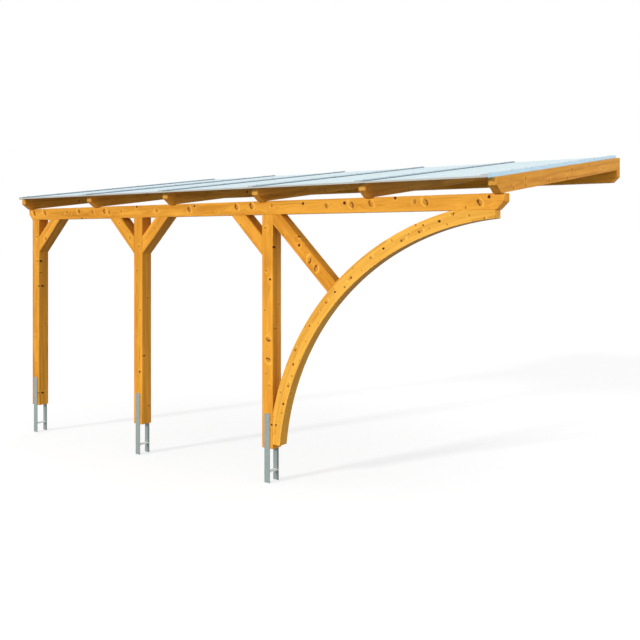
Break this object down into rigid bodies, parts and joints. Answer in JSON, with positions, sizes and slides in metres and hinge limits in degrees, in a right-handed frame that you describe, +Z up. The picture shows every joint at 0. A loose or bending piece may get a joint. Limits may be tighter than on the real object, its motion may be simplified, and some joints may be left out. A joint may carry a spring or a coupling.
{
  "type": "lean-to carport",
  "caption": "Lean-to timber carport: braced posts under a front beam, quarter-round entry arch, rafters rising to a wall purlin and a translucent sheet roof.",
  "frame": {"origin": "middle of the rear face of the wall purlin, where it bears on the wall", "axes": "+X along the front beam towards the arch, +Y towards the wall, +Z up"},
  "size_m": [5.55, 3.1316, 2.9712],
  "materials": {
    "timber": "planed spruce, honey coloured, satin",
    "laminated_timber": "laminated spruce, satin",
    "roof_sheet": "translucent pale blue twin-wall sheet, glossy",
    "bar_metal": "mill-finish aluminium, satin",
    "galvanised_steel": "hot-dip galvanised, dull"
  },
  "bodies": {
    "root": {"post_left": "timber", "post_middle": "timber", "post_right": "timber", "front_beam": "timber", "wall_purlin": "timber", "rafter_1": "timber", "rafter_2": "timber", "rafter_3": "timber", "rafter_4": "timber", "rafter_5": "timber", "rafter_6": "timber", "knee_brace_1": "timber", "knee_brace_2": "timber", "knee_brace_3": "timber", "knee_brace_4": "timber", "entry_arch": "laminated_timber", "arch_strut": "timber", "roof_sheet_1": "roof_sheet", "roof_sheet_2": "roof_sheet", "roof_sheet_3": "roof_sheet", "roof_sheet_4": "roof_sheet", "roof_sheet_5": "roof_sheet", "glazing_bar_1": "bar_metal", "glazing_bar_2": "bar_metal", "glazing_bar_3": "bar_metal", "glazing_bar_4": "bar_metal", "glazing_bar_5": "bar_metal", "glazing_bar_6": "bar_metal", "front_trim_1": "bar_metal", "front_trim_2": "bar_metal", "front_trim_3": "bar_metal", "front_trim_4": "bar_metal", "front_trim_5": "bar_metal", "anchor_left": "galvanised_steel", "anchor_middle": "galvanised_steel", "anchor_right": "galvanised_steel"}
  },
  "joints": []
}
